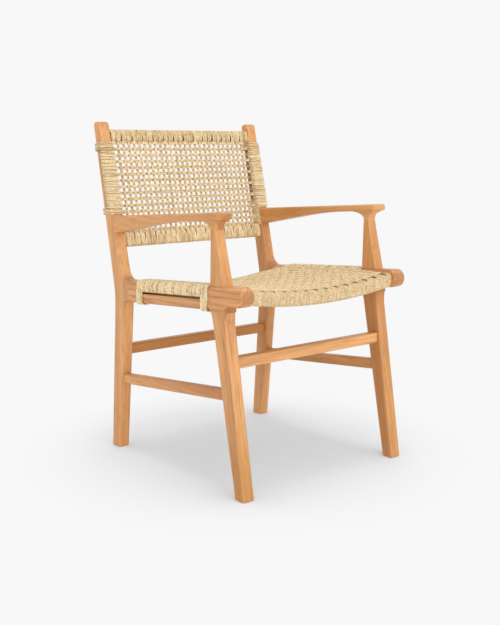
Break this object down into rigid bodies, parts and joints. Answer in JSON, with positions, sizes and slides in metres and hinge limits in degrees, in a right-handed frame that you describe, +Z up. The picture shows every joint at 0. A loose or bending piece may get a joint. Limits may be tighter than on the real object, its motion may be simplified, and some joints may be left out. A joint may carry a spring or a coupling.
{
  "type": "garden armchair",
  "caption": "Wooden garden armchair with splayed front legs, sculpted armrests, a dipped seat of woven cord and an open woven cord back",
  "frame": {"origin": "on the floor, below the middle of the chair's bounding box", "axes": "+Z up, the front of the chair faces -Y, +X to the viewer's right from the front"},
  "size_m": [0.5242, 0.5898, 0.82],
  "materials": {
    "teak": "oiled satin",
    "cord": "matte cord",
    "dowel_wood": "plain"
  },
  "bodies": {
    "root": {"arm_end_dowels": "dowel_wood", "arm_foot_dowels": "dowel_wood", "arm_head_dowels": "dowel_wood", "arm_post_left": "teak", "arm_post_right": "teak", "armrest_left": "teak", "armrest_right": "teak", "back_band_lower_left": "cord", "back_band_lower_right": "cord", "back_band_upper_left": "cord", "back_band_upper_right": "cord", "back_bottom_rail": "teak", "back_bottom_wrap": "cord", "back_side_wrap_left": "cord", "back_side_wrap_right": "cord", "back_top_rail": "teak", "back_top_wrap": "cord", "back_weave": "cord", "front_leg_left": "teak", "front_leg_right": "teak", "front_stretcher": "teak", "rear_post_left": "teak", "rear_post_right": "teak", "rear_stretcher": "teak", "seat_band_front_left": "cord", "seat_band_front_right": "cord", "seat_band_rear_left": "cord", "seat_band_rear_right": "cord", "seat_front_rail": "teak", "seat_front_wrap": "cord", "seat_rear_rail": "teak", "seat_rear_wrap": "cord", "seat_side_wrap_left": "cord", "seat_side_wrap_right": "cord", "seat_weave": "cord", "side_rail_left": "teak", "side_rail_right": "teak", "side_stretcher_left": "teak", "side_stretcher_right": "teak"}
  },
  "joints": []
}
